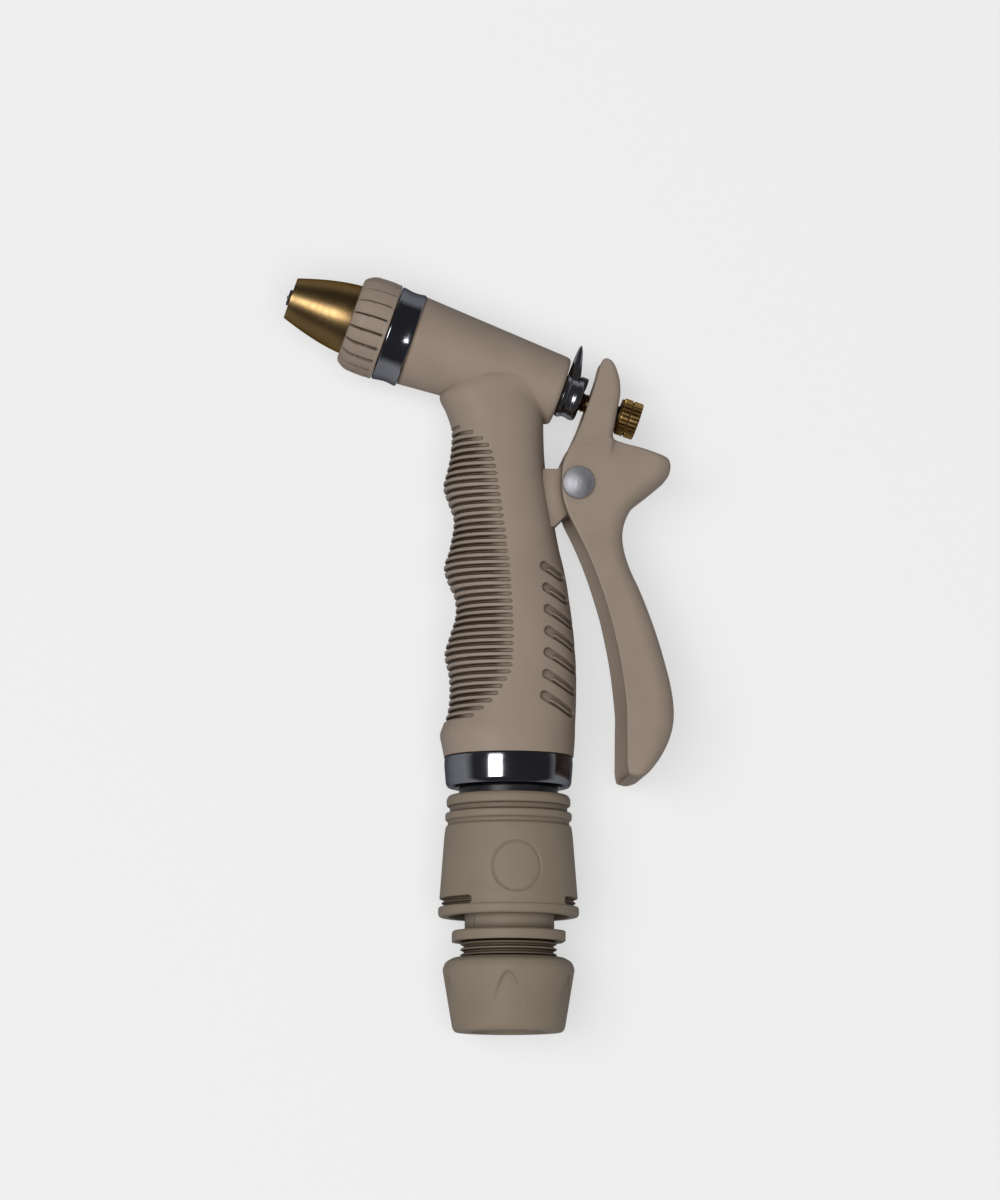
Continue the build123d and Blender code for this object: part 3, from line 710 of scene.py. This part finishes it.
def build_head():
    outline = refined(rounded([
        (8.85, 47.75, 0), (12.75, 47.75, 0.5), (13.0, 50.0, 0.5), (12.85, 55.2, 2.2),
        (11.2, 57.6, 1.6), (9.5, 57.7, 0.2), (8.85, 57.6, 0),
    ], 7), 0.4)
    collar = lathe("collar_ribbed", BARREL, outline, PAINT, "spray_head",
                   ["grip_collar"], COLLAR_RIBS * 24, collar_shape)
    sharpen(collar, 70)
    ogive = []
    for k in range(15):
        t = k / 14
        ogive.append((9.25 - 3.75 * t ** 1.55, 57.0 + 17.0 * t, 0))
    cone = rounded([(8.0, 50.6, 0), (8.0, 57.0, 0)] + ogive
                   + [(5.45, 74.2, 0.25), (5.2, 74.2, 0), (2.65, 74.2, 0.1), (2.65, 71.0, 0),
                      (7.3, 66.7, 0), (7.3, 50.6, 0)], 4)
    piece = lathe("cone_turned", BARREL, refined(cone, 0.8), BRASS, "spray_head",
                  ["spray_cone"], 128)
    sharpen(piece, 35)
    insert = rounded([(1.0, 71.5, 0), (2.6, 71.5, 0), (2.6, 74.2, 0), (2.1, 74.25, 0),
                      (2.1, 74.9, 0.25), (1.0, 74.9, 0.15)], 4)
    lathe("orifice_ring", BARREL, insert, BLACK, "spray_head",
          ["orifice_insert"], 48)
    ring = refined(rounded([(8.02, 41.02, 0), (12.2, 41.02, 0.1), (12.45, 41.35, 0.2),
                            (12.08, 44.2, 1.5), (12.6, 47.3, 0.3), (12.3, 47.66, 0.2),
                            (8.02, 47.66, 0)], 5), 1.0)
    piece = lathe("front_ring_chrome", BARREL, ring, CHROME, "body",
                  ["front_trim_ring"], 128)
    sharpen(piece, 60)


def stem_shape(radius, station, angle):
    """Thread on the rear of the stem."""
    if radius < 2.3 or station > -4.5:
        return radius
    turn = station / 0.8 + angle / (2 * math.pi)
    return radius - 0.36 * abs(2 * (turn - math.floor(turn)) - 1)


def build_stem():
    outline = refined([(0.01, -20.2), (2.1, -20.2), (2.5, -19.8), (2.5, -4.4)], 0.12)
    outline += [(2.5, 31.5), (5.8, 31.5), (5.8, 32.9), (1.8, 32.9), (1.8, 66.0), (0.45, 71.0),
                (0.45, 75.0), (0.3, 75.2), (0.01, 75.2)]
    piece = lathe("stem_threaded", BARREL, outline, BRASS, "stem", ["valve_stem"], 48,
                  stem_shape)
    sharpen(piece, 60)


KNURLS = 26


def knurl_shape(radius, station, angle):
    """Straight knurl in two bands with a plain groove between them."""
    if radius < 4.3:
        return radius
    turn = angle * KNURLS / (2 * math.pi)
    from_groove = abs(2 * (turn - math.floor(turn)) - 1)
    depth = 0.50 * smooth((radius - 4.35) / 0.35)
    return radius - depth * smooth((0.62 - from_groove) / 0.5)


def build_flow_nut():
    outline = refined(rounded([
        (2.56, -16.55, 0), (4.7, -16.55, 0.1), (4.88, -16.75, 0.1), (4.88, -18.7, 0.05),
        (4.5, -18.8, 0), (4.5, -19.05, 0), (4.88, -19.15, 0.05), (4.88, -21.35, 0.1),
        (4.65, -21.6, 0.1), (0.01, -21.6, 0), (0.01, -20.5, 0), (2.56, -20.4, 0),
    ], 3), 0.3)
    piece = lathe("flow_nut_knurled", BARREL, outline, NUT_BRASS_LIT, "flow_nut", ["flow_nut"],
                  KNURLS * 14, knurl_shape)
    sharpen(piece, 45)


def barrel_point(across, station, side):
    """A point beside the barrel axis, with stations counted forward from the barrel's rear."""
    return BARREL_REAR + FORWARD * station + ACROSS * across + Vector((0.0, side, 0.0))


def build_lock_ring():
    """A boss with a waist, with its blade and lobe."""
    outline = refined(rounded([
        (4.1, -0.25, 0), (5.5, -0.25, 0.3), (5.75, -0.7, 0.3), (5.7, -1.5, 0.4), (5.2, -2.0, 0.4),
        (5.2, -3.4, 0.4), (5.45, -3.9, 0.3), (5.4, -5.2, 0.6), (4.8, -5.7, 0.4), (4.1, -5.7, 0),
    ], 4), 0.8)
    boss = lathe("lock_boss", BARREL, outline, CAST_CHROME, "lock_ring", ["lock_ring"], 96)
    sharpen(boss, 50)
    build_lock_blade()
    build_lock_lobe()


def build_lock_blade():
    """The pointed thumb blade."""
    rings = []
    for k in range(25):
        t = k / 24
        across = 4.0 + 10.2 * t
        station = -2.3 + 1.06 * t
        thick = 1.9 * (1 - t) ** 0.6 + 0.06
        wide = 2.3 * (1 - t) ** 0.6 + 0.12
        ring = []
        for i in range(20):
            angle = 2 * math.pi * i / 20
            ring.append(barrel_point(across, station + thick * math.cos(angle),
                                     wide * math.sin(angle)))
        rings.append(ring)
    make_piece("lock_blade", rings, CAST_CHROME, "lock_ring")


def build_lock_lobe():
    """The lobe on the boss's rear rim."""
    rings = []
    for k in range(9):
        t = k / 8
        bulge = math.sqrt(max(1 - (2 * t - 1) ** 8, 0.0)) * 0.25 + 0.75
        ring = []
        for i in range(24):
            angle = 2 * math.pi * i / 24
            c, s = math.cos(angle), math.sin(angle)
            across = 4.6 + 1.7 * bulge * math.copysign(abs(c) ** 0.6, c)
            side = 2.3 * bulge * math.copysign(abs(s) ** 0.6, s)
            ring.append(barrel_point(across, -5.95 + 2.2 * t, side))
        rings.append(ring)
    lobe = make_piece("lock_lobe", rings, CAST_CHROME, "lock_ring")
    sharpen(lobe, 50)


# ------------------------------------------------------------------ quick connector

def build_lower_ring():
    outline = refined(rounded([
        (10.22, 62.42, 0), (14.3, 62.42, 0.5), (15.1, 62.9, 0.4), (15.6, 62.7, 0.3),
        (16.15, 63.6, 0.9), (16.55, 68.5, 0.8), (16.45, 70.45, 0.3), (10.22, 70.45, 0),
    ], 6), 0.9)
    piece = lathe("lower_ring_chrome", HOSE, outline, CHROME, "body",
                  ["lower_trim_ring"], 160)
    sharpen(piece, 60)
    outline = rounded([
        (4.5, 78.5, 0), (9.6, 78.5, 0.3), (10.2, 77.9, 0.2), (10.2, 62.4, 0), (12.7, 62.4, 0.2),
        (12.7, 59.85, 0.3), (8.6, 59.8, 0), (8.6, 56.5, 0), (9.9, 56.5, 0.3), (9.9, 54.5, 0.4),
        (7.9, 53.5, 0), (7.9, 48.6, 0), (6.5, 48.6, 0), (6.5, 46.4, 0), (7.9, 46.4, 0),
        (7.9, 44.0, 0), (7.3, 43.2, 0), (4.5, 43.2, 0),
    ], 4)
    piece = lathe("adaptor_black", HOSE, outline, BLACK, "body",
                  ["inlet_adaptor"], 96)
    sharpen(piece, 50)


SLEEVE_SLOT_Z = 32.95
BADGE_Z = 41.3
BADGE_X = 0.5


def sleeve_shape(radius, station, angle):
    """Grip slots over the flange and a plain round badge ring on the near side."""
    if radius < 15.6:
        return radius
    hollow = 0.0
    if 31.0 < station < 35.0:
        local = (angle - math.radians(5.5)) % math.pi - math.pi / 2
        reach = abs(local) * radius - 13.4
        gap = math.hypot(max(reach, 0.0), station - SLEEVE_SLOT_Z) - 0.95
        hollow = 1.15 * smooth((0.15 - gap) / 0.35)
        inner = math.hypot(max(reach + 0.6, 0.0), station - SLEEVE_SLOT_Z) - 0.2
        hollow *= 1 - 0.55 * smooth((0.2 - inner) / 0.3)
    turn = (angle + math.pi) % (2 * math.pi) - math.pi
    if abs(turn) < 0.6 and 33.5 < station < 50.0:
        away = math.hypot(turn * radius - BADGE_X, station - BADGE_Z)
        ring = smooth((0.42 - abs(away - 6.3)) / 0.3)
        dish = smooth((6.2 - away) / 0.4)
        hollow += 0.34 * ring + 0.16 * dish
    return radius - hollow


def build_sleeve():
    outline = refined(rounded([
        (13.3, 60.2, 0), (13.5, 60.6, 0.15), (15.2, 60.6, 0.4), (15.9, 59.7, 0.5),
        (15.9, 57.9, 0.35), (15.1, 57.5, 0.2), (15.1, 56.4, 0.2), (16.25, 55.9, 0.35),
        (16.25, 54.3, 0.35), (15.6, 53.8, 0.15), (15.6, 53.0, 0.15), (16.15, 52.5, 0.4),
        (16.5, 50.0, 1.0), (17.7, 34.4, 0.3), (17.72, 31.9, 0.2), (18.05, 31.6, 0.25),
        (18.05, 29.9, 0.4), (17.6, 29.4, 0.2), (15.5, 29.4, 0), (15.5, 45.0, 0), (13.3, 45.0, 0),
    ], 4), 0.24)
    sleeve = lathe("sleeve_moulded", HOSE, outline, PLASTIC, "sleeve",
                   ["connector_sleeve"], 432, sleeve_shape)
    sharpen(sleeve, 60)


def thread_ridges(low, count, crest, root, pitch):
    """Outline of plain thread rings from the top down."""
    points = []
    for i in reversed(range(count)):
        base = low + i * pitch
        points += [(root, base + 0.95 * pitch), (crest, base + 0.62 * pitch),
                   (crest, base + 0.42 * pitch), (root, base + 0.1 * pitch)]
    return points


def body_shape(radius, station, angle):
    """Two flats on the thread flange and a mould step down the neck."""
    side = math.sin(angle)
    if 23.0 < station < 25.8 and radius > 13.0:
        return min(radius, 14.2 / max(abs(side), 0.3))
    if 25.8 < station < 44.0 and radius > 11.0 and side < -0.80:
        return radius - 0.45 * smooth((-0.80 - side) / 0.03)
    return radius


def build_connector():
    threads = thread_ridges(11.6, 8, 12.35, 11.45, 1.45)
    outline = [(4.2, 40.5), (8.05, 40.5), (8.05, 53.4), (10.1, 54.4), (10.1, 56.6), (12.0, 56.6),
               (12.0, 58.4), (10.1, 58.4), (10.1, 58.9), (10.9, 59.4), (13.2, 59.4), (13.2, 47.6),
               (12.6, 46.9), (11.7, 44.0)]
    outline += refined([(11.7, 44.0), (11.7, 26.3), (12.0, 25.85), (14.6, 25.75), (14.95, 25.4),
                        (14.95, 23.3), (14.8, 23.1), (11.5, 23.1)], 0.5)
    outline += refined([(11.5, 23.0)] + threads, 0.3)
    outline += [(11.5, 11.0), (8.0, 11.0), (8.0, 24.0), (6.4, 24.0)]
    for i in reversed(range(3)):
        base = 9.5 + i * 4.0
        outline += [(6.3, base + 2.2), (6.9, base + 2.0), (6.3, base)]
    outline += [(6.4, 8.2), (5.7, 6.4), (4.2, 6.4)]
    body = lathe("connector_moulded", HOSE, outline, PLASTIC, "body",
                 ["connector_body"], 240, body_shape)
    sharpen(body, 40)


SCOOPS = 5
SCOOP_TOP = 15.0


def scoop_shape(radius, station, angle):
    """Finger scoops: a crisp arch at the top that fades out down the skirt."""
    if radius < 13.9 or station > 16.5:
        return radius
    sector = 2 * math.pi / SCOOPS
    local = (angle + 0.10 + sector / 2) % sector - sector / 2
    sideways = local * radius
    inside = SCOOP_TOP - station - sideways * sideways / 1.9
    if inside <= 0:
        return radius
    fade = 1 - smooth((SCOOP_TOP - station) / 11.5)
    return radius - 0.62 * smooth(inside / 0.8) * fade


def build_clamp_nut():
    outline = refined(rounded([
        (12.4, 19.0, 0), (14.2, 19.0, 0.8), (16.3, 17.8, 1.2), (16.9, 15.9, 0.35),
        (14.4, 0.9, 0.8), (13.7, 0.0, 0.4), (9.5, 0.0, 0), (9.5, 3.5, 0), (10.6, 3.5, 0),
        (11.25, 4.9, 0), (11.25, 9.6, 0), (12.4, 10.0, 0),
    ], 6), 0.3)
    nut = lathe("clamp_nut_moulded", HOSE, outline, PLASTIC, "clamp_nut",
                ["clamp_nut"], 360, scoop_shape)
    sharpen(nut, 60)


# ------------------------------------------------------------------ CAD nodes that stay

KEPT = {
    "nozzle_tube": BRASS, "cone_o_ring": RUBBER, "valve_seal": RUBBER, "valve_spring": STEEL,
    "stem_packing": RUBBER, "packing_washer": BRASS, "gland_nut": CHROME, "nut_washer": BRASS,
    "inlet_washer": RUBBER, "adaptor_o_ring": RUBBER, "claw_ring": STEEL, "connector_seal": RUBBER,
    "spring_retainer": STEEL, "sleeve_spring": STEEL, "hose_collet": WHITE,
}


def dress_kept_nodes():
    for name, material in KEPT.items():
        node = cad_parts[name]
        node.data.materials.clear()
        node.data.materials.append(material)


# ------------------------------------------------------------------ studio

FLOOR_HALF = 3.0
FLOOR_GREY = 0.255
FLOOR_GLOW = 0.55


def build_floor():
    """A pale floor that is partly its own light, so that it reads evenly and shadows stay soft."""
    size = FLOOR_HALF
    height = cad_low[2] - 0.0002
    mesh = bpy.data.meshes.new("floor")
    corners = [(-size, -size, height), (size, -size, height), (size, size, height),
               (-size, size, height)]
    mesh.from_pydata(corners, [], [(0, 1, 2, 3)])
    floor = bpy.data.objects.new("floor", mesh)
    bpy.context.scene.collection.objects.link(floor)
    material, tree, shader = new_material("pale_floor")
    shader.inputs["Base Color"].default_value = (FLOOR_GREY, FLOOR_GREY, FLOOR_GREY, 1)
    shader.inputs["Emission Color"].default_value = (1, 1, 1, 1)
    shader.inputs["Emission Strength"].default_value = FLOOR_GLOW
    shader.inputs["Roughness"].default_value = 0.9
    shader.inputs["Specular IOR Level"].default_value = 0.1
    floor.data.materials.append(material)
    floor.visible_glossy = False


def aim(obj, target):
    obj.rotation_euler = (Vector(target) - obj.location).to_track_quat("-Z", "Y").to_euler()


def add_light(name, place, target, size, power):
    light = bpy.data.lights.new(name, "AREA")
    light.shape = "RECTANGLE"
    light.size, light.size_y = size
    light.energy = power
    lamp = bpy.data.objects.new(name, light)
    bpy.context.scene.collection.objects.link(lamp)
    lamp.location = place
    aim(lamp, target)
    return lamp


def build_world():
    """Dim even light; gloss sees a dark studio that is lighter towards the horizon."""
    world = bpy.data.worlds.new("studio")
    bpy.context.scene.world = world
    world.use_nodes = True
    tree = world.node_tree
    backdrop = tree.nodes["Background"]
    backdrop.inputs["Color"].default_value = (1.0, 1.0, 1.0, 1)
    backdrop.inputs["Strength"].default_value = 0.13
    dark = tree.nodes.new("ShaderNodeBackground")
    coords = tree.nodes.new("ShaderNodeTexCoord")
    split = tree.nodes.new("ShaderNodeSeparateXYZ")
    tree.links.new(coords.outputs["Generated"], split.inputs["Vector"])
    glow = ramp(tree, split.outputs["Z"], 0.0, 0.30, (0.30, 0.30, 0.31), (0.035, 0.035, 0.04))
    tree.links.new(glow.outputs["Color"], dark.inputs["Color"])
    paths = tree.nodes.new("ShaderNodeLightPath")
    mix = tree.nodes.new("ShaderNodeMixShader")
    out = tree.nodes["World Output"]
    tree.links.new(paths.outputs["Is Glossy Ray"], mix.inputs["Fac"])
    tree.links.new(backdrop.outputs["Background"], mix.inputs[1])
    tree.links.new(dark.outputs["Background"], mix.inputs[2])
    tree.links.new(mix.outputs["Shader"], out.inputs["Surface"])


CENTRE = Vector((-2.2 * MM, 111.4 * MM, 0.0))
DISTANCE = 1.30
AZIMUTH = math.radians(-5.5)
BELOW = math.radians(8.0)
LENS = 151.0


def build_camera():
    direction = Vector((math.sin(AZIMUTH) * math.cos(BELOW), -math.sin(BELOW),
                        math.cos(AZIMUTH) * math.cos(BELOW)))
    data = bpy.data.cameras.new("camera")
    data.sensor_fit = "VERTICAL"
    data.sensor_height = 36.0
    data.lens = LENS
    data.clip_start = 0.01
    camera = bpy.data.objects.new("camera", data)
    bpy.context.scene.collection.objects.link(camera)
    camera.location = CENTRE + direction * DISTANCE
    back = direction.normalized()
    up = Vector((0, 1, 0))
    right = up.cross(back).normalized()
    up = back.cross(right)
    matrix = camera.matrix_world.copy()
    for i in range(3):
        matrix[i][0] = right[i]
        matrix[i][1] = up[i]
        matrix[i][2] = back[i]
    matrix.translation = camera.location
    camera.matrix_world = matrix
    bpy.context.scene.camera = camera


build_handle()
build_lever()
build_rivet()
build_head()
build_stem()
build_flow_nut()
build_lock_ring()
build_lower_ring()
build_sleeve()
build_connector()
build_clamp_nut()
dress_kept_nodes()
build_floor()
build_world()
build_camera()
add_light("key", (-1.45, 0.15, 2.60), CENTRE, (1.25, 1.25), 36.0)
overhead = add_light("overhead", (-0.2, -0.55, 2.95), CENTRE, (2.0, 2.0), 80.0)
overhead.visible_glossy = False
bpy.context.scene.view_settings.view_transform = "Standard"
